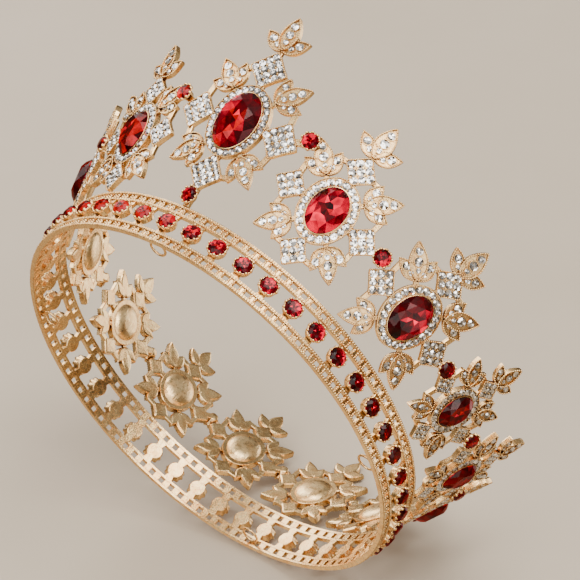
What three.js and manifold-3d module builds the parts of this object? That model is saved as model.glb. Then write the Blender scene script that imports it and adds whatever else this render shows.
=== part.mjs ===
// Full-round bridal crown in cast alloy, standing upright on its band.
// Millimetres, +Z up, band centred on the Z axis, tallest motif facing -Y.
import * as THREE from "three";
import { mergeVertices } from "three/addons/utils/BufferGeometryUtils.js";
import Module from "manifold-3d";

const wasm = await Module();
wasm.setup();

// Band: two rails joined by a row of claw cups.
const BAND_OUTER = 77;
const BAND_INNER = 75.2;
const BAND_HEIGHT = 17.6;
const RAIL_HEIGHT = 4.3;
const CUP_COUNT = 46;
const CUP_RADIUS = 3.6;
const CUP_REACH = 1.2;
const TIE_WIDTH = 2.2;

// Motifs lean outwards from the top of the band.
const FLARE = THREE.MathUtils.degToRad(20);
const FOOT_RADIUS = 76.1;
const FOOT_Z = BAND_HEIGHT + 0.3;
const GAP = 0.3;

// Wire loops for hair pins, soldered inside the lower edge.
const LOOP_RADIUS = 3.05;
const LOOP_WIRE = 0.45;
const LOOP_Z = 2;
const LOOPS = [["front", 0], ["left", 86], ["back", 180], ["right", -86]];

// Depths of the motif parts, measured outwards from the leaning surface.
const BACK = -0.9;
const FRONT = 1.4;
const HALO = { back: -1.4, front: 1.8, pocket: 0.8 };
const BAR_WIDTH = 1.7;
const ROUND_CUP = { neck: 1.7, radius: 3, back: 1.7, front: 2.3 };
const ROUND_STONE = { radius: 2.8, table: 1.7, height: 2.2 };

// Three motif sizes. centre is a height up the leaning surface, the rest is measured from it.
const LARGE = {
  centre: 33.6, stone: [7.8, 10.7], halo: [10.9, 13.7], stoneHeight: 3.9,
  plate: { x: 17.6, y: 20.2, half: 7.5 },
  leaf: { root: [8.4, 10.7], length: 13, width: 6.2, side: 9.9 },
  tipRoot: 28, link: [26.7, 5],
};
const MEDIUM = {
  centre: 23.5, stone: [6.2, 8.6], halo: [9.7, 12.1], stoneHeight: 3.3,
  plate: { x: 15, y: 17, half: 6.2 },
  leaf: { root: [7.6, 9.2], length: 12.8, width: 6.2, side: 9.3 },
  tipRoot: 22.8, link: [23, 1],
};
const SMALL = {
  centre: 18.3, stone: [4.9, 6.8], halo: [7.7, 9.6], stoneHeight: 2.6,
  plate: { x: 11.8, y: 13.4, half: 4.4 },
  leaf: { root: [6, 7.3], length: 10.2, width: 4.9, side: 7.4 },
  tipRoot: 16.8, link: [16.4, 3.4],
};
const LOW_MEDIUM = { ...MEDIUM, centre: 19.2, tipRoot: 21, link: [22.4, 1.4] };
const STEM_STONE_Y = -29.6;
const LEAF_SPREAD = 0.72;
const TIP_SPREAD = 0.92;

// Motifs of one half, in degrees from the front one; back is opposite the front.
const HALF = [
  { name: "first", at: 29.7, type: MEDIUM, foot: true },
  { name: "second", at: 59.6, type: LOW_MEDIUM, foot: false },
  { name: "third", at: 87, type: SMALL, foot: true },
  { name: "fourth", at: 111.45, type: SMALL, foot: true },
  { name: "fifth", at: 134.3, type: SMALL, foot: true },
  { name: "sixth", at: 157.15, type: SMALL, foot: true },
];

const gold = (name) =>
  new THREE.MeshStandardMaterial({ name, color: 0xe3c08a, metalness: 1, roughness: 0.3 });
const castGold = gold("cast_gold");
const wireGold = gold("wire_gold");
const redStone = new THREE.MeshStandardMaterial({
  name: "red_stone", color: 0xb00018, metalness: 0.2, roughness: 0.08,
});

function solidOf(geometry) {
  const bare = geometry.clone();
  bare.deleteAttribute("normal");
  bare.deleteAttribute("uv");
  const merged = mergeVertices(bare, 1e-4);
  return new wasm.Manifold(new wasm.Mesh({
    numProp: 3,
    vertProperties: merged.attributes.position.array,
    triVerts: new Uint32Array(merged.index.array),
  }));
}

function geometryOf(solid) {
  const mesh = solid.getMesh();
  const geometry = new THREE.BufferGeometry();
  const points = new Float32Array(mesh.vertProperties);
  geometry.setAttribute("position", new THREE.BufferAttribute(points, 3));
  geometry.setIndex(new THREE.BufferAttribute(new Uint32Array(mesh.triVerts), 1));
  geometry.computeVertexNormals();
  return geometry;
}

const joined = (solids) => solids.reduce((a, b) => a.add(b));

const group = new THREE.Group();
group.name = "bridal_crown";

function addNode(name, geometry, material) {
  const mesh = new THREE.Mesh(geometry, material);
  mesh.name = name;
  group.add(mesh);
}

// A flat outline raised between two depths.
function slab(points, back, front) {
  const shape = new THREE.Shape(points.map(([x, y]) => new THREE.Vector2(x, y)));
  const geometry = new THREE.ExtrudeGeometry(shape, { depth: front - back, bevelEnabled: false });
  return solidOf(geometry.translate(0, 0, back));
}

const turned = (points, angle, x, y) =>
  points.map(([u, v]) => [
    x + u * Math.cos(angle) - v * Math.sin(angle),
    y + u * Math.sin(angle) + v * Math.cos(angle),
  ]);

const oval = (a, b, count) =>
  Array.from({ length: count }, (_, i) => {
    const t = ((i + 0.5) / count) * 2 * Math.PI;
    return [a * Math.cos(t), b * Math.sin(t)];
  });

// Pointed leaf lying along +x from its root.
function leafOutline(length, width) {
  const side = [0.2, 0.5, 0.8].map((t) => [t * length, (width / 2) * Math.sin(Math.PI * t ** 0.9)]);
  return [[0, 0], ...side.map(([x, y]) => [x, -y]), [length, 0], ...side.reverse()];
}

function bar(from, to) {
  const length = Math.hypot(to[0] - from[0], to[1] - from[1]);
  const angle = Math.atan2(to[1] - from[1], to[0] - from[0]);
  const h = BAR_WIDTH / 2;
  const box = [[-h, -h], [length + h, -h], [length + h, h], [-h, h]];
  return slab(turned(box, angle, ...from), BACK, FRONT);
}

function leafFan(root, angle, { length, width, side }, spread) {
  const fan = [slab(turned(leafOutline(length, width), angle, ...root), BACK, FRONT)];
  for (const s of [-1, 1]) {
    const outline = leafOutline(side, width * 0.8);
    fan.push(slab(turned(outline, angle + s * spread, ...root), BACK, FRONT));
  }
  return fan;
}

// Square plate standing on a corner.
const plateOutline = ({ half }) => [[-half, 0], [0, -half], [half, 0], [0, half]];

// Cup of a round stone, raised clear of the plates on a neck.
function roundCup(x, y) {
  const { neck, radius, back, front } = ROUND_CUP;
  const disc = (r, low, high) => {
    const cylinder = new THREE.CylinderGeometry(r, r, high - low, 8);
    return solidOf(cylinder.rotateX(Math.PI / 2).translate(x, y, (high + low) / 2));
  };
  return disc(neck, BACK, back + 0.1).add(disc(radius, back, front));
}

// Flat casting of one motif with its middle at the origin.
function motifCasting(type, foot, links, stem) {
  const { plate, leaf } = type;
  const right = Math.PI / 2;
  const outline = plateOutline(plate);
  const parts = [slab(oval(...type.halo, 16), HALO.back, HALO.front)];
  const plates = [[plate.x, 0], [-plate.x, 0], [0, plate.y]];
  if (foot) plates.push([0, -plate.y]);
  for (const [x, y] of plates) {
    parts.push(slab(turned(outline, 0, x, y), BACK, FRONT));
    parts.push(bar([x * 0.55, y * 0.55], [x, y]));
  }
  for (const sx of [-1, 1])
    for (const sy of [-1, 1]) {
      const tilt = THREE.MathUtils.degToRad(sy > 0 ? 46 : 41);
      const angle = Math.atan2(sy * Math.sin(tilt), sx * Math.cos(tilt));
      const root = [sx * leaf.root[0], sy * leaf.root[1]];
      parts.push(bar([root[0] * 0.85, root[1] * 0.85], root));
      parts.push(...leafFan(root, angle, leaf, LEAF_SPREAD));
      const reach = leaf.side * 0.8;
      for (const s of [-1, 1]) {
        const a = angle + s * LEAF_SPREAD;
        const end = [root[0] + reach * Math.cos(a), root[1] + reach * Math.sin(a)];
        const flat = Math.abs(Math.cos(a)) > Math.abs(Math.sin(a));
        if (!flat && sy < 0 && !foot) continue;
        const corner = plate.half * 0.6;
        const target = flat ? [sx * plate.x, sy * corner] : [sx * corner, sy * plate.y];
        parts.push(bar(end, target));
      }
    }
  parts.push(bar([0, plate.y], [0, type.tipRoot + 1]));
  parts.push(...leafFan([0, type.tipRoot], right, leaf, TIP_SPREAD));
  for (const side of links) {
    const [x, y] = [side * type.link[0], type.link[1]];
    parts.push(roundCup(x, y), bar([side * plate.x, 0], [x, y]));
  }
  if (stem) parts.push(roundCup(0, stem), bar([0, -plate.y], [0, BAR_WIDTH / 2 - type.centre]));
  const pocket = oval(type.stone[0] + GAP, type.stone[1] + GAP, 16);
  const casting = joined(parts).subtract(slab(pocket, HALO.pocket, HALO.front + 1));
  return casting.asOriginal().simplify(0.12);
}

// Bends a flat geometry round the band and leans it outwards.
function bent(geometry, azimuth, centre) {
  const turn = THREE.MathUtils.degToRad(azimuth - 90);
  const middle = FOOT_RADIUS + centre * Math.sin(FLARE);
  const position = geometry.attributes.position;
  for (let i = 0; i < position.count; i++) {
    const up = position.getY(i) + centre;
    const out = position.getZ(i);
    const angle = turn + position.getX(i) / middle;
    const radius = FOOT_RADIUS + up * Math.sin(FLARE) + out * Math.cos(FLARE);
    const z = FOOT_Z + up * Math.cos(FLARE) - out * Math.sin(FLARE);
    position.setXYZ(i, radius * Math.cos(angle), radius * Math.sin(angle), z);
  }
  geometry.computeVertexNormals();
  return geometry;
}

// Faceted stone with a flat table, standing on the given depth.
function stone(a, b, table, height, count, x, y, depth) {
  const geometry = new THREE.CylinderGeometry(table, 1, height, count, 1, false, Math.PI / count);
  geometry.rotateX(Math.PI / 2).scale(a, b, 1).translate(x, y, depth + height / 2);
  return geometry;
}

function addMotif(name, azimuth, type, foot, links, stem) {
  const casting = geometryOf(motifCasting(type, foot, links, stem));
  addNode(`${name}_motif`, bent(casting, azimuth, type.centre), castGold);
  const [a, b] = type.stone;
  const large = stone(a, b, 0.6, type.stoneHeight, 16, 0, 0, HALO.pocket + GAP);
  addNode(`${name}_oval_stone`, bent(large, azimuth, type.centre), redStone);
  const round = (x, y) => {
    const { radius, table, height } = ROUND_STONE;
    const small = stone(radius, radius, table / radius, height, 8, x, y, ROUND_CUP.front + GAP);
    return bent(small, azimuth, type.centre);
  };
  for (const side of links) {
    const hand = side > 0 ? "_left" : "_right";
    const label = `${name}_link_stone${links.length > 1 ? hand : ""}`;
    addNode(label, round(side * type.link[0], type.link[1]), redStone);
  }
  if (stem) addNode(`${name}_stem_stone`, round(0, stem), redStone);
}

// Band casting.
function rail(bottom) {
  const profile = [
    [BAND_INNER, bottom], [BAND_OUTER, bottom],
    [BAND_OUTER, bottom + RAIL_HEIGHT], [BAND_INNER, bottom + RAIL_HEIGHT], [BAND_INNER, bottom],
  ];
  const points = profile.map(([x, y]) => new THREE.Vector2(x, y));
  return solidOf(new THREE.LatheGeometry(points, CUP_COUNT * 2).rotateX(Math.PI / 2));
}

const middleZ = BAND_HEIGHT / 2;
const bandParts = [rail(0), rail(BAND_HEIGHT - RAIL_HEIGHT)];
for (let i = 0; i < CUP_COUNT; i++) {
  const turn = ((i + 0.5) / CUP_COUNT) * 2 * Math.PI;
  const depth = BAND_OUTER + CUP_REACH - BAND_INNER - 0.1;
  const cup = new THREE.CylinderGeometry(CUP_RADIUS, CUP_RADIUS, depth, 8);
  cup.rotateZ(-Math.PI / 2).translate(BAND_INNER + 0.1 + depth / 2, 0, middleZ);
  const tieHeight = BAND_HEIGHT - 2 * RAIL_HEIGHT + 0.8;
  const tie = new THREE.BoxGeometry(1.2, TIE_WIDTH, tieHeight);
  tie.translate((BAND_INNER + BAND_OUTER) / 2, 0, middleZ);
  bandParts.push(solidOf(cup.rotateZ(turn)), solidOf(tie.rotateZ(turn)));
}
addNode("band_casting", geometryOf(joined(bandParts).asOriginal().simplify(0.03)), castGold);

// Motifs: the front one links to both neighbours, the others link towards the back.
addMotif("front", 0, LARGE, true, [1, -1], STEM_STONE_Y);
for (const { name, at, type, foot } of HALF) {
  addMotif(`left_${name}`, at, type, foot, [1]);
  addMotif(`right_${name}`, -at, type, foot, [-1]);
}
addMotif("back", 180, SMALL, true, []);

for (const [name, at] of LOOPS) {
  const loop = new THREE.TorusGeometry(LOOP_RADIUS, LOOP_WIRE, 6, 16);
  loop.translate(BAND_INNER - GAP - LOOP_RADIUS - LOOP_WIRE, 0, LOOP_Z);
  addNode(`${name}_pin_loop`, loop.rotateZ(THREE.MathUtils.degToRad(at - 90)), wireGold);
}

export default group;
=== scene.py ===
"""Looks of a full-round bridal crown: cast lattice band, cup-set stones and pave motifs."""

import math

import bpy
import numpy as np
from mathutils import Matrix, Vector


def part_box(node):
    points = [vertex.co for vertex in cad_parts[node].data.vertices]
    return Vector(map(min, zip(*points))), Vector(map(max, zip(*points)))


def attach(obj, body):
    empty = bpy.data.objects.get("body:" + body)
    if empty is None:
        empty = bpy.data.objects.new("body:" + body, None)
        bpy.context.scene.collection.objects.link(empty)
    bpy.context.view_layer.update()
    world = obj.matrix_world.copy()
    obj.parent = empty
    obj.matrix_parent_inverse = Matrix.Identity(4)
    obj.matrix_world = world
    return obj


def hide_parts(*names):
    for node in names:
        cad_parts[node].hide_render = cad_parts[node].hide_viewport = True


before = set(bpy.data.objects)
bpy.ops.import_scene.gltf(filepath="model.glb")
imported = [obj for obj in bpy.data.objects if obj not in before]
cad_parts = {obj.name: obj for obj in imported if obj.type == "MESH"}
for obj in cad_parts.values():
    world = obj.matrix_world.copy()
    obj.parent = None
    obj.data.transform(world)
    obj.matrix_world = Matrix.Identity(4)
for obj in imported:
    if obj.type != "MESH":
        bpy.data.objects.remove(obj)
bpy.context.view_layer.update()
rng = np.random.default_rng(11)
MM = 0.001
TURN = 2 * math.pi

# Dimensions shared with the solids, in millimetres.
BAND_INNER = 75.2
BAND_OUTER = 77.0
BAND_HEIGHT = 17.6
INNER_FACE = BAND_INNER - BAND_OUTER  # depth of the band's inner face, from its outer one
ROUND = TURN * BAND_OUTER  # length of the outer face
RAIL = 4.3  # height of the lower and the upper rail
CUPS = 46
FLARE = math.radians(20)  # how far the motifs lean out
FOOT_RADIUS = 76.1
FOOT_Z = BAND_HEIGHT + 0.3
BACK = -0.9  # depth of a motif's back
STEM_STONE_Y = -29.6
LOOPS = (("front", 0), ("left", 86), ("back", 180), ("right", -86))

# A motif's sizes. centre: height of its middle above the foot. stone and halo: half their width
# and height. rise: height of the oval stone. plate: how far the plates sit from the middle, their
# side and the stones along it. root: where the corner sprays start. leaf: the middle leaf's
# length and width, and the side leaves' length. leaf_stones: place along the middle leaf and
# radius. tip: where the top spray starts. link: place of the link stone. scale: of the fittings.
MEDIUM = dict(
    centre=23.5, stone=(6.2, 8.6), halo=(9.7, 12.1), rise=2.5, halo_stones=23,
    plate=dict(x=15.0, y=17.0, side=8.8, count=3), root=(7.6, 9.2), leaf=(12.8, 6.3, 9.3),
    leaf_stones=((0.26, 0.85), (0.48, 1.5), (0.74, 1.3)), tip=22.8, link=(23.0, 1.0), scale=1.0,
)
LARGE = dict(
    centre=33.6, stone=(7.8, 10.7), halo=(10.9, 13.7), rise=3.0, halo_stones=29,
    plate=dict(x=17.6, y=20.2, side=10.6, count=4), root=(8.4, 10.7), leaf=(13.0, 6.3, 9.9),
    leaf_stones=((0.26, 0.95), (0.48, 1.4), (0.73, 1.3)), tip=28.0, link=(26.7, 5.0), scale=1.0,
)
SMALL = dict(
    centre=18.3, stone=(4.9, 6.8), halo=(7.7, 9.6), rise=2.1, halo_stones=20,
    plate=dict(x=11.8, y=13.4, side=6.3, count=3), root=(6.0, 7.3), leaf=(10.2, 4.9, 7.4),
    leaf_stones=((0.26, 0.85), (0.48, 1.5), (0.74, 1.3)), tip=16.8, link=(16.4, 3.4), scale=0.79,
)
LOW_MEDIUM = dict(MEDIUM, centre=19.2, tip=21.0, link=(22.4, 1.4))

# Label, degrees from the front, sizes, and whether the motif has a lower plate.
HALF = [
    ("first", 29.7, MEDIUM, True), ("second", 59.6, LOW_MEDIUM, False), ("third", 87, SMALL, True),
    ("fourth", 111.45, SMALL, True), ("fifth", 134.3, SMALL, True), ("sixth", 157.15, SMALL, True),
]

# Sizes of the surface detail, in millimetres.
CELLS = 106  # windows in each rail
STRIP = 1.05  # height of the strips above and below the windows
STRIP_BEAD_PITCH = 0.93
EDGE_BEAD_PITCH = 0.78  # milgrain on leaves and plates
LEAN_UP = math.radians(46)  # of the corner sprays, from the horizontal
LEAN_DOWN = math.radians(41)
CORNER_FAN = 0.72  # angle between the leaves of a spray
TIP_FAN = 0.92


# ---------------------------------------------------------------- materials
# Noise scales, per metre.
TONE_GRAIN = 260
WEAR_GRAIN = 700
SPECK_GRAIN = 900
CAST_GRAIN = 1500


def material(name):
    """New material, its node tree and its shader."""
    mat = bpy.data.materials.new(name)
    mat.use_nodes = True
    tree = mat.node_tree
    return mat, tree, tree.nodes["Principled BSDF"]


def noise(tree, scale, detail=4.0):
    """Noise in the object's own coordinates."""
    coord = tree.nodes.new("ShaderNodeTexCoord")
    node = tree.nodes.new("ShaderNodeTexNoise")
    node.inputs["Scale"].default_value = scale
    node.inputs["Detail"].default_value = detail
    node.inputs["Roughness"].default_value = 0.6
    tree.links.new(coord.outputs["Object"], node.inputs["Vector"])
    return node.outputs["Fac"]


def ramp(tree, source, stops):
    """Colours at stops from 0 to 1."""
    node = tree.nodes.new("ShaderNodeValToRGB")
    while len(node.color_ramp.elements) < len(stops):
        node.color_ramp.elements.new(0.5)
    for element, (at, colour) in zip(node.color_ramp.elements, stops):
        element.position = at
        element.color = (*colour, 1)
    tree.links.new(source, node.inputs["Fac"])
    return node.outputs["Color"]


def remapped(tree, source, low, high):
    """The middle of a noise's range, spread from low to high."""
    node = tree.nodes.new("ShaderNodeMapRange")
    node.inputs["From Min"].default_value = 0.3
    node.inputs["From Max"].default_value = 0.7
    node.inputs["To Min"].default_value = low
    node.inputs["To Max"].default_value = high
    tree.links.new(source, node.inputs["Value"])
    return node.outputs["Result"]


def multiplied(tree, first, second):
    """Product of two colours."""
    node = tree.nodes.new("ShaderNodeMix")
    node.data_type = "RGBA"
    node.blend_type = "MULTIPLY"
    node.inputs["Factor"].default_value = 1
    tree.links.new(first, node.inputs["A"])
    tree.links.new(second, node.inputs["B"])
    return node.outputs["Result"]


def bumped(tree, height, strength, distance):
    """Bump node driven by a height."""
    node = tree.nodes.new("ShaderNodeBump")
    node.inputs["Strength"].default_value = strength
    node.inputs["Distance"].default_value = distance
    tree.links.new(height, node.inputs["Height"])
    return node


def gold(name, light, deep, rough, bump):
    """Plated casting: painted shade turns it dark brown in the hollows, and it is brighter where it is
    rubbed.
    """
    mat, tree, shader = material(name)
    tone = ramp(tree, noise(tree, TONE_GRAIN), [(0.32, deep), (0.62, light)])
    # Painted shade: ambient occlusion within 1.6 mm darkens the colour to dark brown in hollows and
    # recesses.
    hollow = tree.nodes.new("ShaderNodeAmbientOcclusion")
    hollow.samples = 4
    hollow.inputs["Distance"].default_value = 1.6 * MM
    painted_hollow_shade = ramp(tree, hollow.outputs["AO"], [(0.25, (0.24, 0.12, 0.045)), (0.85, (1, 1, 1))])
    tree.links.new(multiplied(tree, tone, painted_hollow_shade), shader.inputs["Base Color"])
    wear = remapped(tree, noise(tree, WEAR_GRAIN), rough * 0.7, rough * 1.35)
    tree.links.new(wear, shader.inputs["Roughness"])
    grain = bumped(tree, noise(tree, CAST_GRAIN, 5), bump, 0.12 * MM)
    tree.links.new(grain.outputs["Normal"], shader.inputs["Normal"])
    shader.inputs["Metallic"].default_value = 1
    return mat


def filed(mat):
    """Adds fine parallel file marks to a plated material."""
    tree = mat.node_tree
    coord = tree.nodes.new("ShaderNodeTexCoord")
    stretch = tree.nodes.new("ShaderNodeMapping")
    stretch.inputs["Rotation"].default_value = (0.5, 0.6, 0)
    stretch.inputs["Scale"].default_value = (1500, 1500, 90)
    tree.links.new(coord.outputs["Object"], stretch.inputs["Vector"])
    marks = tree.nodes.new("ShaderNodeTexNoise")
    marks.inputs["Scale"].default_value = 1
    tree.links.new(stretch.outputs["Vector"], marks.inputs["Vector"])
    grooves = bumped(tree, marks.outputs["Fac"], 0.6, 0.2 * MM)
    shader = tree.nodes["Principled BSDF"]
    tree.links.new(shader.inputs["Normal"].links[0].from_socket, grooves.inputs["Normal"])
    tree.links.new(grooves.outputs["Normal"], shader.inputs["Normal"])
    return mat


def gem(name, light, deep, edge, grain, rough, coat):
    """Foil-backed glass: tilted foil facets seen under a clear polished surface."""
    mat, tree, shader = material(name)
    tone = ramp(tree, noise(tree, grain, 2), [(0.35, deep), (0.65, light)])
    tree.links.new(tone, shader.inputs["Base Color"])
    specks = remapped(tree, noise(tree, SPECK_GRAIN), rough * 0.6, rough * 1.4)
    tree.links.new(specks, shader.inputs["Roughness"])
    foil = tree.nodes.new("ShaderNodeAttribute")
    foil.attribute_name = "foil"
    tree.links.new(foil.outputs["Vector"], shader.inputs["Normal"])
    shader.inputs["Metallic"].default_value = 1
    shader.inputs["Specular Tint"].default_value = (*edge, 1)
    shader.inputs["Coat Weight"].default_value = coat
    shader.inputs["Coat Roughness"].default_value = 0.02
    shader.inputs["Coat IOR"].default_value = 1.6
    return mat


CAST = gold("champagne_casting", (1.0, 0.71, 0.35), (0.86, 0.5, 0.2), 0.24, 0.55)
WIRE = gold("loop_wire", (0.95, 0.65, 0.31), (0.78, 0.44, 0.17), 0.2, 0.2)
FILED = filed(gold("filed_casting", (1.0, 0.73, 0.38), (0.88, 0.54, 0.23), 0.3, 0.3))
RUBY = gem("red_glass", (0.4, 0.0, 0.016), (0.16, 0.0, 0.006), (0.6, 0.02, 0.03), 260, 0.17, 0.28)
CLEAR = gem("clear_rhinestone", (0.97, 0.96, 0.95), (0.5, 0.49, 0.49), (1, 1, 1), 400, 0.06, 1.0)


# ---------------------------------------------------------------- flat to world
def leaning(azimuth, centre):
    """Flat motif coordinates to the leaning surface above the band."""
    turn = math.radians(azimuth - 90)
    middle = FOOT_RADIUS + centre * math.sin(FLARE)
    sf = math.sin(FLARE)
    cf = math.cos(FLARE)

    def place(flat):
        up = flat[:, 1] + centre
        out = flat[:, 2]
        angle = turn + flat[:, 0] / middle
        radius = FOOT_RADIUS + up * sf + out * cf
        z = FOOT_Z + up * cf - out * sf
        c, s, one = np.cos(angle), np.sin(angle), np.ones_like(angle)
        axes = np.stack([
            np.stack([-s, c, 0 * one], 1),
            np.stack([sf * c, sf * s, cf * one], 1),
            np.stack([cf * c, cf * s, -sf * one], 1),
        ], 1)
        return np.stack([radius * c, radius * s, z], 1), axes

    return place


def around(flat):
    """Flat band coordinates: millimetres along the outer face, height, depth outwards."""
    angle = flat[:, 0] / BAND_OUTER - math.pi / 2
    radius = BAND_OUTER + flat[:, 2]
    c, s, one = np.cos(angle), np.sin(angle), np.ones_like(angle)
    axes = np.stack([
        np.stack([-s, c, 0 * one], 1),
        np.stack([0 * one, 0 * one, one], 1),
        np.stack([c, s, 0 * one], 1),
    ], 1)
    return np.stack([radius * c, radius * s, flat[:, 1]], 1), axes


def upright(flat):
    """World coordinates, in millimetres, kept as they are."""
    return flat, None


# ---------------------------------------------------------------- mesh tools
class Build:
    """One piece in flat coordinates: across, up and out, in millimetres."""

    def __init__(self):
        self.points, self.faces, self.smooth, self.foil = [], [], [], []
        self.count = 0

    def add(self, points, faces, smooth=False, foil=None):
        points = np.asarray(points, float).reshape(-1, 3)
        self.faces += [tuple(i + self.count for i in face) for face in faces]
        self.count += len(points)
        self.points.append(points)
        self.smooth += [smooth] * len(faces)
        self.foil += list(foil) if foil is not None else [(0, 0, 1)] * len(faces)

    def finish(self, name, place, mat, slot, nodes=()):
        """Makes the object, on the crown's body, in place of the CAD nodes named."""
        flat = np.concatenate(self.points)
        mesh = bpy.data.meshes.new(name)
        mesh.from_pydata((place(flat)[0] * MM).tolist(), [], self.faces)
        mesh.polygons.foreach_set("use_smooth", self.smooth)
        mesh.materials.append(mat)
        if mat in (RUBY, CLEAR):
            middles = np.array([flat[list(face)].mean(0) for face in self.faces])
            axes = place(middles)[1]
            normals = np.einsum("nij,ni->nj", axes, np.asarray(self.foil, float))
            layer = mesh.attributes.new("foil", "FLOAT_VECTOR", "FACE")
            layer.data.foreach_set("vector", normals.ravel())
        mesh.update()
        piece = bpy.data.objects.new(name, mesh)
        bpy.context.scene.collection.objects.link(piece)
        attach(piece, "root")
        if nodes:
            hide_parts(*nodes)


def circle(count, shift=0.0):
    """Even points on the unit circle, anticlockwise."""
    t = (np.arange(count) + shift) * TURN / count
    return np.stack([np.cos(t), np.sin(t)], 1)


def level(outline, depth):
    """An outline at one depth."""
    return np.column_stack([outline, np.full(len(outline), depth)])


def inset(outline, distance):
    """A closed anticlockwise outline moved inwards."""
    p = np.asarray(outline, float)
    before = p - np.roll(p, 1, 0)
    after = np.roll(p, -1, 0) - p
    before /= np.linalg.norm(before, axis=1)[:, None]
    after /= np.linalg.norm(after, axis=1)[:, None]
    n1 = np.stack([-before[:, 1], before[:, 0]], 1)
    n2 = np.stack([-after[:, 1], after[:, 0]], 1)
    mitre = (n1 + n2) / np.maximum(0.35, 1 + (n1 * n2).sum(1))[:, None]
    return p + mitre * distance


def lengths(outline):
    """Running length round a closed outline, from its first point back to it."""
    closed = np.vstack([outline, outline[:1]])
    steps = np.linalg.norm(np.diff(closed, axis=0), axis=1)
    return closed, np.concatenate([[0], np.cumsum(steps)])


def spaced(outline, gap):
    """Points at an even gap round a closed outline."""
    closed, run = lengths(np.asarray(outline, float))
    at = np.linspace(0, run[-1], max(3, round(run[-1] / gap)), endpoint=False)
    return np.stack([np.interp(at, run, closed[:, 0]), np.interp(at, run, closed[:, 1])], 1)


def turned(points, angle, x=0.0, y=0.0):
    """Points turned about the origin, then moved."""
    p = np.asarray(points, float)
    c, s = math.cos(angle), math.sin(angle)
    return np.stack([x + p[:, 0] * c - p[:, 1] * s, y + p[:, 0] * s + p[:, 1] * c], 1)


def rings(build, loops, close_start=True, close_end=True, smooth=False):
    """Skins equal closed loops of 3-D points, outside facing out."""
    n = len(loops[0])
    faces = []
    for k in range(len(loops) - 1):
        for i in range(n):
            j = (i + 1) % n
            faces.append((k * n + i, k * n + j, (k + 1) * n + j, (k + 1) * n + i))
    if close_start:
        faces.append(tuple(reversed(range(n))))
    if close_end:
        faces.append(tuple((len(loops) - 1) * n + i for i in range(n)))
    build.add(np.concatenate(loops), faces, smooth)


def endless(build, sections, smooth=False):
    """Skins equal closed sections that follow each other all the way round."""
    n, m = len(sections), len(sections[0])
    faces = []
    for i in range(n):
        here, beyond = i * m, (i + 1) % n * m
        for k in range(m):
            j = (k + 1) % m
            faces.append((here + k, beyond + k, beyond + j, here + j))
    build.add(np.concatenate(sections), faces, smooth)


def tray(build, outline, back, top, floor, rim):
    """Cast tray: bevelled wall, raised rim and sunken floor."""
    profile = (
        (0.75, back), (0.25, back + 0.14), (0, back + 0.55), (0, top - 0.15), (0.12, top),
        (rim - 0.08, top), (rim, top - 0.12), (rim, floor),
    )
    rings(build, [level(inset(outline, distance), depth) for distance, depth in profile])


def block(build, outline, back, top, bevel=0.15):
    """Flat block with bevelled edges."""
    profile = ((bevel, back), (0, back + bevel), (0, top - bevel), (bevel, top))
    rings(build, [level(inset(outline, distance), depth) for distance, depth in profile])


def bar(build, start, end, width, back, top):
    """Straight solder bar."""
    dx, dy = end[0] - start[0], end[1] - start[1]
    length, half = math.hypot(dx, dy), width / 2
    outline = [(0, -half), (length, -half), (length, half), (0, half)]
    block(build, turned(outline, math.atan2(dy, dx), *start), back, top, 0.2)


DOME = np.vstack([level(circle(6), 0), level(0.72 * circle(6, 0.5), 0.66), [(0, 0, 0.98)]])
DOME_FACES = (
    [(i, (i + 1) % 6, 6 + i) for i in range(6)]
    + [((i + 1) % 6, 6 + (i + 1) % 6, 6 + i) for i in range(6)]
    + [(6 + i, 6 + (i + 1) % 6, 12) for i in range(6)]
)


def beads(build, spots, depth, radius, jitter=0.12):
    """Milgrain: one small dome at each spot, a little uneven."""
    for x, y in spots:
        r = radius * (1 + jitter * rng.uniform(-1, 1))
        build.add(DOME * r + (x, y, depth), DOME_FACES, True)


def claws(build, x, y, depth, radius, count=10):
    """Ring of rounded teeth leaning over a stone's edge."""
    tooth = DOME * (0.5, 0.7, 1.0)
    for k in range(count):
        angle = TURN * k / count
        spun = turned(tooth[:, :2], angle, x + radius * math.cos(angle), y + radius * math.sin(angle))
        build.add(np.column_stack([spun, tooth[:, 2] + depth]), DOME_FACES, True)


def lobed(build, x, y, profile, lobes=10, **options):
    """Round wall from a profile of (radius, depth, swell), where swell makes its edge lobed."""
    t = np.arange(40) * TURN / 40
    wave = 0.5 + 0.5 * np.cos(lobes * t)
    loops = []
    for radius, depth, swell in profile:
        r = radius + swell * wave
        loops.append(level(np.stack([x + r * np.cos(t), y + r * np.sin(t)], 1), depth))
    rings(build, loops, **options)


def bezel(build, x, y, depth, r, wall, height):
    """Thin round collar."""
    profile = ((r + wall, depth), (r + wall * 0.8, depth + height), (r, depth + height), (r, depth))
    rings(build, [level(circle(14) * radius + (x, y), z) for radius, z in profile], False, False)


# ---------------------------------------------------------------- stones
def tilt(degrees, heading):
    """Normal of a foil facet tilted off the straight-out direction."""
    a = math.radians(degrees)
    return (math.sin(a) * math.cos(heading), math.sin(a) * math.sin(heading), math.cos(a))


def small_stone(build, x, y, depth, r):
    """Round rhinestone: eight crown facets, and the foil star seen through its table."""
    spin = rng.uniform(0, math.pi)
    girdle = turned(circle(8), spin)
    height = 0.42 * r
    points = np.concatenate([
        level(girdle * r + (x, y), depth),
        level(girdle * 0.62 * r + (x, y), depth + height),
        [(x, y, depth + height)],
    ])
    faces, foil = [], []
    for i in range(8):
        j = (i + 1) % 8
        heading = spin + (i + 0.5) * math.pi / 4
        faces.append((i, j, 8 + j, 8 + i))
        foil.append(tilt(rng.uniform(8, 46), heading + rng.choice([0, math.pi])))
        faces.append((8 + i, 8 + j, 16))
        foil.append(tilt(rng.uniform(3, 30), heading + math.pi * (i % 2)))
    build.add(points, faces, False, foil)


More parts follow.
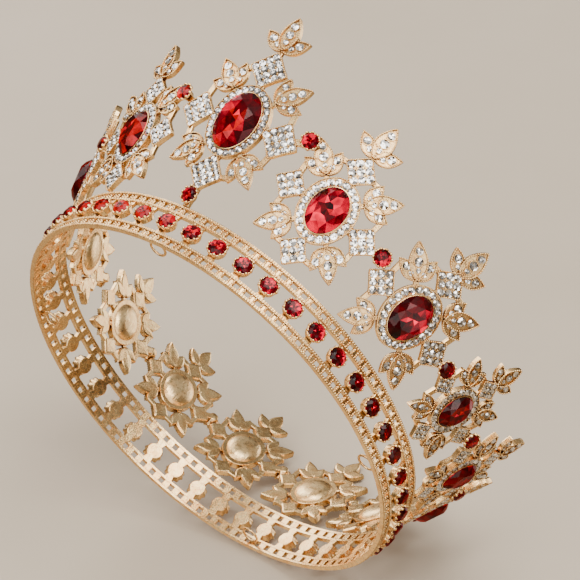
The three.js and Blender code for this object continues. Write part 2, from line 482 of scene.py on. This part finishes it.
def cut_stone(build, x, y, depth, a, b, rise, wide=8):
    """Brilliant-cut red stone, round or oval, with its foil pattern."""
    def loop(scale, count, shift, z):
        return level(circle(count, shift) * (a * scale, b * scale) + (x, y), z)

    top = depth + rise
    points = np.concatenate([
        loop(0.94, 2 * wide, 0, depth - 0.7),
        loop(1, 2 * wide, 0, depth),
        loop(0.8, wide, 0.5, depth + rise * 0.62),
        loop(0.6, wide, 0, top),
        loop(0.3, wide, 0.5, top),
        [(x, y, top)],
    ])
    base, girdle, middle, table, inner, heart = (n * wide for n in (0, 2, 4, 5, 6, 7))
    faces, foil = [], []

    def facet(face, degrees, heading):
        faces.append(face)
        foil.append(tilt(degrees, heading))

    for i in range(2 * wide):
        j = (i + 1) % (2 * wide)
        facet((base + i, base + j, girdle + j, girdle + i), 60, math.pi * i / wide)
    for i in range(wide):
        j = (i + 1) % wide
        half = (2 * i + 1) * math.pi / wide
        flip = math.pi * (i % 2)
        left, between, right = girdle + 2 * i, girdle + 2 * i + 1, girdle + 2 * j
        facet((left, between, middle + i), 30, half + 2.6)
        facet((between, right, middle + i), 34, half - 2.6)
        facet((right, table + j, middle + i), 25, half + math.pi + 0.5)
        facet((left, middle + i, table + i), 25, half + math.pi - 0.5)
        facet((table + i, middle + i, table + j), 15, half + math.pi)
        facet((table + i, table + j, inner + i), 19, half + math.pi)
        facet((table + j, inner + j, inner + i), 9, half + flip)
        facet((inner + i, inner + j, heart), 38, half + flip)
    build.add(points, faces, False, foil)


# ---------------------------------------------------------------- motif parts
OVAL = circle(56)


def leaf_outline(length, width):
    """Pointed leaf along the first axis, from its root at the origin."""
    t = np.linspace(0.02, 0.97, 11)
    y = width / 2 * np.sin(math.pi * t ** 0.85) ** 0.85
    lower = np.stack([t * length, -y], 1)
    upper = np.stack([t[::-1] * length, y[::-1]], 1)
    return np.vstack([lower, [(length, 0)], upper])


def spray(gilt, clear, root, angle, spec, fan):
    """Three leaves from one root; the middle one lies over the other two."""
    length, width, side = spec["leaf"]
    scale = spec["scale"]
    side_stones = ((0.34, 0.95), (0.63, 1.35))
    for turn, long, wide, top, stones in (
        (-fan, side, width * 0.82, 1.1, side_stones),
        (fan, side, width * 0.82, 1.1, side_stones),
        (0, length, width, 1.55, spec["leaf_stones"]),
    ):
        outline = turned(leaf_outline(long, wide), angle + turn, *root)
        tray(gilt, outline, BACK, top, top - 0.5, 0.34 * scale)
        beads(gilt, spaced(inset(outline, 0.16), EDGE_BEAD_PITCH), top - 0.04, 0.3)
        for at, radius in stones:
            x, y = turned([(at * long, 0)], angle + turn, *root)[0]
            small_stone(clear, x, y, top - 0.2, radius * scale)
            bezel(gilt, x, y, top - 0.5, radius * scale + 0.02, 0.22 * scale, 0.38)


def plate_outline(half):
    """Square standing on a corner, with hollow sides and rounded corners."""
    points = []
    for side in range(4):
        for f in (np.arange(9) + 0.5) / 9:
            hollow = 0.2 * half * f * (1 - f) + 0.55 * max(0, 1 - 9 * min(f, 1 - f))
            points.append(turned([(half - hollow, (2 * f - 1) * half)], math.pi / 4 * (2 * side + 1))[0])
    return np.array(points)


def pave_plate(gilt, clear, plate, x, y):
    """Square plate of close-set stones with a claw at every corner between them."""
    half = plate["side"] / 2
    count = plate["count"]
    outline = plate_outline(half) + (x, y)
    tray(gilt, outline, BACK, 1.3, 0.7, 0.3)
    beads(gilt, spaced(inset(outline, 0.16), EDGE_BEAD_PITCH), 1.26, 0.28)
    pitch = (2 * half - 0.75) / count
    stones = (np.arange(count) - (count - 1) / 2) * pitch
    for px, py in turned([(u, v) for u in stones for v in stones], math.pi / 4, x, y):
        small_stone(clear, px, py, 1.0, pitch * 0.5)
    corners = (np.arange(count + 1) - count / 2) * pitch * 0.985
    beads(gilt, turned([(u, v) for u in corners for v in corners], math.pi / 4, x, y), 1.1, 0.27)


def round_setting(gilt, red, x, y, start):
    """Claw cup raised on a neck, with a scalloped edge, on an arm from the start point."""
    lobed(gilt, x, y, (
        (1.3, BACK, 0), (1.7, BACK + 0.2, 0), (1.9, 0.9, 0), (2.7, 1.5, 0.25),
        (3.15, 2.1, 0.35), (3.05, 2.3, 0.25), (2.75, 2.3, 0), (2.7, 1.9, 0),
    ), smooth=True)
    claws(gilt, x, y, 2.15, 3.05)
    cut_stone(red, x, y, 2.4, 2.8, 2.8, 1.15)
    bar(gilt, start, (x, y), 2.4, BACK, 0.7)


def oval_setting(gilt, dome, spec):
    """Pillow-shaped closed back, halo trough and the raised collar of the oval stone."""
    halo = np.array(spec["halo"])
    stone = np.array(spec["stone"])
    back = ((0.14, -3.1), (0.4, -2.95), (0.62, -2.5), (0.76, -1.7), (0.8, -1.25))
    rings(dome, [level(OVAL * halo * share, depth) for share, depth in back],
          close_end=False, smooth=True)
    wall = ((-0.15, -1.25), (0, -1.05), (0, 1.2), (-0.1, 1.28), (-0.2, 1.28), (-0.22, 0.8))
    collar = ((0.24, 0.8), (0.22, 1.55), (0.05, 1.6), (0, 1.3))
    rings(gilt, [
        level(OVAL * halo * 0.8, -1.25),
        *(level(OVAL * (halo + grow), depth) for grow, depth in wall),
        *(level(OVAL * (stone + grow), depth) for grow, depth in collar),
    ], close_start=False)


def halo_stones(gilt, clear, spec):
    """Row of clear stones round the oval stone, with claws between them."""
    sa, sb = spec["stone"]
    ha, hb = spec["halo"]
    middle = OVAL * ((sa + ha) / 2, (sb + hb) / 2)
    pitch = lengths(middle)[1][-1] / spec["halo_stones"]
    radius = min((ha - sa - 0.45) / 2, pitch / 2)
    for x, y in spaced(middle, pitch):
        small_stone(clear, x, y, 1.1, radius)
    between = spaced(middle, pitch / 2)[1::2]
    for shift in (-radius * 0.72, radius * 0.78):
        grow = 1 + shift / np.linalg.norm(between, axis=1)
        beads(gilt, between * grow[:, None], 1.15, 0.29)
    beads(gilt, spaced(OVAL * (ha - 0.1, hb - 0.1), 0.62), 1.22, 0.19)


def corner_spray(gilt, clear, spec, sx, sy, foot):
    """Diagonal spray whose side leaves are soldered to the plates beside them."""
    lean = LEAN_UP if sy > 0 else LEAN_DOWN
    angle = math.atan2(sy * math.sin(lean), sx * math.cos(lean))
    root = (sx * spec["root"][0], sy * spec["root"][1])
    bar(gilt, (root[0] * 0.75, root[1] * 0.75), root, 1.7, BACK + 0.1, 0.7)
    spray(gilt, clear, root, angle, spec, CORNER_FAN)
    plate = spec["plate"]
    reach = spec["leaf"][2] * 0.82
    corner = plate["side"] * 0.42
    for side in (-1, 1):
        heading = angle + side * CORNER_FAN
        end = (root[0] + reach * math.cos(heading), root[1] + reach * math.sin(heading))
        sideways = abs(math.cos(heading)) > abs(math.sin(heading))
        if not sideways and sy < 0 and not foot:
            continue
        target = (sx * plate["x"], sy * corner) if sideways else (sx * corner, sy * plate["y"])
        bar(gilt, end, target, 1.9, BACK + 0.15, 0.75)


def motif(name, azimuth, spec, foot, links, stem=None):
    """One motif casting with its stones, at an azimuth in degrees from the front."""
    gilt, clear, red, dome = Build(), Build(), Build(), Build()
    plate = spec["plate"]
    oval_setting(gilt, dome, spec)
    halo_stones(gilt, clear, spec)
    cut_stone(red, 0, 0, 1.85, *spec["stone"], spec["rise"])

    plates = [(plate["x"], 0), (-plate["x"], 0), (0, plate["y"])]
    if foot:
        plates.append((0, -plate["y"]))
    for x, y in plates:
        pave_plate(gilt, clear, plate, x, y)
        bar(gilt, (x * 0.5, y * 0.5), (x * 0.9, y * 0.9), 3.0 * spec["scale"], BACK + 0.1, 0.7)
    for sx in (-1, 1):
        for sy in (-1, 1):
            corner_spray(gilt, clear, spec, sx, sy, foot)
    bar(gilt, (0, plate["y"]), (0, spec["tip"] + 1), 1.7, BACK + 0.1, 0.7)
    spray(gilt, clear, (0, spec["tip"]), math.pi / 2, spec, TIP_FAN)

    stones = [f"{name}_oval_stone"]
    link_x, link_y = spec["link"]
    for side in links:
        round_setting(gilt, red, side * link_x, link_y, (side * plate["x"], 0))
    if len(links) > 1:
        stones += [f"{name}_link_stone_left", f"{name}_link_stone_right"]
    elif links:
        stones.append(f"{name}_link_stone")
    if stem:
        round_setting(gilt, red, 0, stem, (0, -plate["y"]))
        bar(gilt, (0, stem), (0, 0.1 - spec["centre"]), 2.6, BACK, 0.9)
        stones.append(f"{name}_stem_stone")

    place = leaning(azimuth, spec["centre"])
    gilt.finish(f"{name}_motif_casting", place, CAST, "cast_gold", [f"{name}_motif"])
    dome.finish(f"{name}_back_dome", place, FILED, "cast_gold")
    clear.finish(f"{name}_pave_stones", place, CLEAR, None)
    red.finish(f"{name}_red_stones", place, RUBY, "red_stone", stones)


# ---------------------------------------------------------------- band
def rail(build, low):
    """Lattice rail: two beaded strips joined by beaded blocks, with a window between blocks."""
    for z0 in (low, low + RAIL - STRIP):
        z1 = z0 + STRIP
        section = (
            (z0 + 0.12, 0), (z1 - 0.12, 0), (z1, -0.15), (z1, INNER_FACE + 0.12),
            (z1 - 0.12, INNER_FACE), (z0 + 0.12, INNER_FACE), (z0, INNER_FACE + 0.12), (z0, -0.15),
        )
        steps = 2 * CELLS
        endless(build, [[(ROUND * i / steps, z, depth) for z, depth in section] for i in range(steps)])
        count = int(ROUND / STRIP_BEAD_PITCH)
        beads(build, [(i * STRIP_BEAD_PITCH, (z0 + z1) / 2) for i in range(count)], -0.08, 0.42, 0.1)
    half = 1.32
    bottom, top = low + 0.95, low + RAIL - 0.95
    for i in range(CELLS):
        x = ROUND * i / CELLS
        outline = [(x - half, bottom), (x + half, bottom), (x + half, top), (x - half, top)]
        block(build, outline, INNER_FACE, -0.6, 0.12)
        spots = [(x + dx, low + RAIL / 2 + dz) for dx in (-0.82, 0.82) for dz in (-0.84, 0, 0.84)]
        beads(build, spots, -0.62, 0.5, 0.12)


def band_cup(build, red, x):
    """Closed-backed claw cup between the rails, with a neck to each and its stone."""
    z = BAND_HEIGHT / 2
    edge = INNER_FACE + 0.15
    lobed(build, x, z, ((2.75, INNER_FACE, 0), (2.95, edge, 0)), close_end=False)
    lobed(build, x, z, (
        (2.95, edge, 0), (3.0, -0.5, 0.2), (3.25, 0.4, 0.4), (3.3, 0.85, 0.35),
        (3.2, 1.05, 0.2), (2.95, 1.05, 0), (2.85, 0.6, 0),
    ), close_start=False, smooth=True)
    claws(build, x, z, 0.9, 3.2)
    for sign in (-1, 1):
        near, far = z + sign * 2.5, z + sign * 4.75
        neck = [(x - 1.25, near), (x + 1.25, near), (x + 1.75, far), (x - 1.75, far)]
        block(build, neck[::sign], INNER_FACE, -0.35, 0.15)
    cut_stone(red, x, z, 1.25, 3.0, 3.0, 1.2)


def band():
    """The whole band casting and its row of red stones."""
    casting, red = Build(), Build()
    for low in (0.0, BAND_HEIGHT - RAIL):
        rail(casting, low)
    for i in range(CUPS):
        band_cup(casting, red, ROUND * i / CUPS)
    casting.finish("lattice_band", around, CAST, "cast_gold", ["band_casting"])
    red.finish("band_red_stones", around, RUBY, "red_stone")


def wire_loop(name, azimuth):
    """Pin loop of round wire, with the bead of solder that holds it inside the lower edge."""
    build = Build()
    low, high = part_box(f"{name}_pin_loop")
    x, y, z = (Vector(low) + Vector(high)) / 2 / MM
    loop_radius, wire_radius = 3.05, 0.45
    wire = wire_radius * circle(10) + (loop_radius, 0)
    endless(build, [[(x + r * c, y + r * s, z + up) for r, up in wire] for c, s in circle(40)], True)

    turn = math.radians(azimuth - 90)
    spot = (BAND_INNER - 0.25) * np.array([math.cos(turn), math.sin(turn)])
    bead_radius, bead_half_height, rows = 0.95, 0.75, 7
    loops = []
    for row in range(rows - 1, 0, -1):
        polar = math.pi * row / rows
        outline = circle(12) * bead_radius * math.sin(polar) + spot
        loops.append(level(outline, z + bead_half_height * math.cos(polar)))
    rings(build, loops, smooth=True)
    build.finish(f"{name}_wire_loop", upright, WIRE, "wire_gold", [f"{name}_pin_loop"])


motif("front", 0, LARGE, True, (1, -1), STEM_STONE_Y)
for label, azimuth, spec, foot in HALF:
    motif(f"left_{label}", azimuth, spec, foot, (1,))
    motif(f"right_{label}", -azimuth, spec, foot, (-1,))
motif("back", 180, SMALL, True, ())
band()
for label, azimuth in LOOPS:
    wire_loop(label, azimuth)


# ---------------------------------------------------------------- camera
AZIMUTH = 0.687
ELEVATION = -0.491
ROLL = -0.771
DISTANCE = 1.0958
SHIFT_RIGHT = 0.0297
SHIFT_UP = 0.03795
LENS = 200.4

back = Vector((
    math.sin(AZIMUTH) * math.cos(ELEVATION),
    -math.cos(AZIMUTH) * math.cos(ELEVATION),
    math.sin(ELEVATION),
))
level_right = (-back).cross(Vector((0, 0, 1))).normalized()
level_down = (-back).cross(level_right)
image_right = math.cos(ROLL) * level_right + math.sin(ROLL) * level_down
image_up = math.sin(ROLL) * level_right - math.cos(ROLL) * level_down
camera = bpy.data.objects.new("camera", bpy.data.cameras.new("camera"))
camera.data.lens = LENS
camera.data.sensor_width = 36
camera.data.clip_start = 0.05
camera.data.clip_end = 30
camera.matrix_world = (
    Matrix.Translation(back * DISTANCE + image_right * SHIFT_RIGHT + image_up * SHIFT_UP)
    @ Matrix((image_right, image_up, back)).transposed().to_4x4()
)
bpy.context.scene.collection.objects.link(camera)
bpy.context.scene.camera = camera


# ---------------------------------------------------------------- stage and light
REST = math.radians(13.7)  # the crown leans back this far when it lies on its back
ground = Vector((0, -math.cos(REST), math.sin(REST)))


def stage_plane(name, centre, normal, size=4):
    """Pale surface that shows from its upper side only."""
    normal = Vector(normal).normalized()
    side = normal.orthogonal().normalized()
    other = normal.cross(side)
    signs = ((-1, -1), (1, -1), (1, 1), (-1, 1))
    corners = [Vector(centre) + (side * i + other * j) * size for i, j in signs]
    mesh = bpy.data.meshes.new(name)
    mesh.from_pydata([tuple(p) for p in corners], [], [(0, 1, 2, 3)])
    mesh.update()
    mat, tree, shader = material(name)
    tint = ramp(tree, noise(tree, 6), [(0.3, (0.44, 0.37, 0.29)), (0.7, (0.48, 0.41, 0.33))])
    tree.links.new(tint, shader.inputs["Base Color"])
    shader.inputs["Roughness"].default_value = 0.8
    facing = tree.nodes.new("ShaderNodeNewGeometry")
    clear = tree.nodes.new("ShaderNodeBsdfTransparent")
    mix = tree.nodes.new("ShaderNodeMixShader")
    tree.links.new(facing.outputs["Backfacing"], mix.inputs["Fac"])
    tree.links.new(shader.outputs["BSDF"], mix.inputs[1])
    tree.links.new(clear.outputs["BSDF"], mix.inputs[2])
    tree.links.new(mix.outputs["Shader"], tree.nodes["Material Output"].inputs["Surface"])
    mesh.materials.append(mat)
    plane = bpy.data.objects.new(name, mesh)
    bpy.context.scene.collection.objects.link(plane)
    return plane


def lamp(name, direction, distance, size, power, colour):
    """Soft square lamp aimed at the crown."""
    direction = Vector(direction).normalized()
    data = bpy.data.lights.new(name, "AREA")
    data.size = size
    data.energy = power
    data.color = colour
    lamp_object = bpy.data.objects.new(name, data)
    lamp_object.location = direction * distance + Vector((0, 0, 0.04))
    lamp_object.rotation_euler = direction.to_track_quat("Z", "Y").to_euler()
    bpy.context.scene.collection.objects.link(lamp_object)


def studio_world():
    """Soft surroundings: warm below the resting floor, dim at its edge, pale above, in patches."""
    world = bpy.data.worlds.new("studio")
    world.use_nodes = True
    bpy.context.scene.world = world
    tree = world.node_tree
    coord = tree.nodes.new("ShaderNodeTexCoord")
    patches = tree.nodes.new("ShaderNodeTexNoise")
    patches.inputs["Scale"].default_value = 3.0
    patches.inputs["Detail"].default_value = 1
    tree.links.new(coord.outputs["Generated"], patches.inputs["Vector"])
    above = tree.nodes.new("ShaderNodeVectorMath")
    above.operation = "DOT_PRODUCT"
    above.inputs[1].default_value = ground
    tree.links.new(coord.outputs["Generated"], above.inputs[0])
    share = tree.nodes.new("ShaderNodeMath")
    share.operation = "MULTIPLY_ADD"
    share.inputs[1].default_value = 0.5
    share.inputs[2].default_value = 0.5
    tree.links.new(above.outputs["Value"], share.inputs[0])
    sky = ramp(tree, share.outputs["Value"], [
        (0.0, (0.95, 0.74, 0.5)), (0.38, (0.75, 0.57, 0.37)), (0.52, (0.16, 0.13, 0.1)),
        (0.72, (0.5, 0.47, 0.43)), (0.92, (1, 0.98, 0.94)),
    ])
    cloud = ramp(tree, patches.outputs["Fac"], [(0.4, (0.16, 0.15, 0.14)), (0.6, (1.15, 1.13, 1.1))])
    background = tree.nodes["Background"]
    tree.links.new(multiplied(tree, sky, cloud), background.inputs["Color"])
    background.inputs["Strength"].default_value = 1.1


resting_floor = stage_plane("resting_floor", (0, 0.0783, 0), ground)
resting_floor.visible_glossy = False
level_floor = stage_plane("upright_floor", (0, 0, -0.0003), (0, 0, 1))
for flag in ("visible_shadow", "visible_diffuse", "visible_glossy", "visible_transmission"):
    setattr(level_floor, flag, False)

# Direction, distance and size in metres, power in watts, colour.
key_side = ground * 0.9 + back * 0.35 + image_right * 0.35
fill_side = ground * 0.35 + back * 0.8 - image_right * 0.6
rim_side = ground * 0.7 - back * 0.6 - image_right * 0.3
front_side = back - ground * 0.25 + image_right * 0.3
lamp("key", key_side, 1.1, 0.8, 14, (1, 0.97, 0.91))
lamp("fill", fill_side, 1.3, 1.0, 11, (1, 0.95, 0.88))
lamp("rim", rim_side, 1.2, 1.0, 13, (1, 0.96, 0.92))
lamp("upper", (0.3, 0.5, 1), 1.3, 0.8, 5, (1, 0.96, 0.91))
lamp("front", front_side, 1.4, 0.9, 6, (1, 0.96, 0.9))
studio_world()
